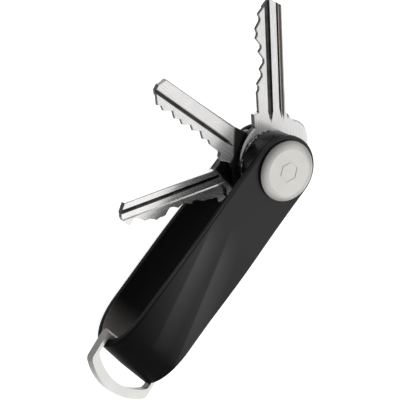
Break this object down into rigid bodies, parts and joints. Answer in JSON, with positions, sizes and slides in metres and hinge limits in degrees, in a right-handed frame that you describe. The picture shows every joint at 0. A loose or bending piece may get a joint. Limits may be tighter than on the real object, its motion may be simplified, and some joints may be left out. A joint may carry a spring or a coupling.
{
  "type": "key organiser",
  "caption": "Loop strap closed by a coin-slot screw pivot between two round discs; flat keys swing out of it, and a D-ring hangs in its bend.",
  "frame": {"origin": "centre of the back disc's outer face, on the pivot axis; the object rests on this face", "axes": "+X across the strap, +Y along the strap from the D-ring end to the pivot, +Z along the pivot towards the front disc"},
  "size_m": [0.0569, 0.1174, 0.0202],
  "materials": {
    "strap_elastomer": "matte moulded",
    "bead_blasted_steel": "satin",
    "turned_steel": "turned",
    "ring_steel": "tumbled satin",
    "key_nickel": "polished, milled grooves",
    "black_nylon": "fine satin",
    "washer_film": "smooth film",
    "seal_rubber": "smooth"
  },
  "bodies": {
    "housing": {"strap": "strap_elastomer", "front_disc": "bead_blasted_steel", "back_disc": "bead_blasted_steel", "pivot_barrel": "turned_steel", "front_bush": "black_nylon", "back_bush": "black_nylon", "front_spacer": "black_nylon", "washer_front": "turned_steel", "washer_1_2": "washer_film", "washer_2_3": "washer_film", "washer_back": "washer_film"},
    "key_1": {"key_1": "key_nickel"},
    "key_2": {"key_2": "key_nickel"},
    "key_3": {"key_3": "key_nickel"},
    "ring": {"d_ring": "ring_steel"},
    "seal": {"screw_seal": "seal_rubber"},
    "screw": {"lock_screw": "turned_steel"}
  },
  "joints": [
    {"name": "key_1_swing", "type": "hinge", "parent": "housing", "child": "key_1", "pos_m": [0, 0, 0.0086], "axis": [0, 0, 1], "continuous": true},
    {"name": "key_2_swing", "type": "hinge", "parent": "housing", "child": "key_2", "pos_m": [0, 0, 0.0066], "axis": [0, 0, 1], "continuous": true},
    {"name": "key_3_swing", "type": "hinge", "parent": "housing", "child": "key_3", "pos_m": [0, 0, 0.0046], "axis": [0, 0, 1], "continuous": true},
    {"name": "ring_swing", "type": "hinge", "parent": "housing", "child": "ring", "pos_m": [0, -0.0682, 0.01], "axis": [1, 0, 0], "range_deg": [-67, 83]},
    {"name": "screw_travel", "type": "slide", "parent": "housing", "child": "seal", "axis": [0, 0, -1], "range_m": [0, 0.00385]},
    {"name": "screw_turn", "type": "hinge", "parent": "seal", "child": "screw", "pos_m": [0, 0, 0.0005], "axis": [0, 0, -1], "range_deg": [0, 1981]}
  ],
  "couplings": [
    {"joint": "screw_turn", "follows": "screw_travel", "rad_per_m": 8976}
  ]
}
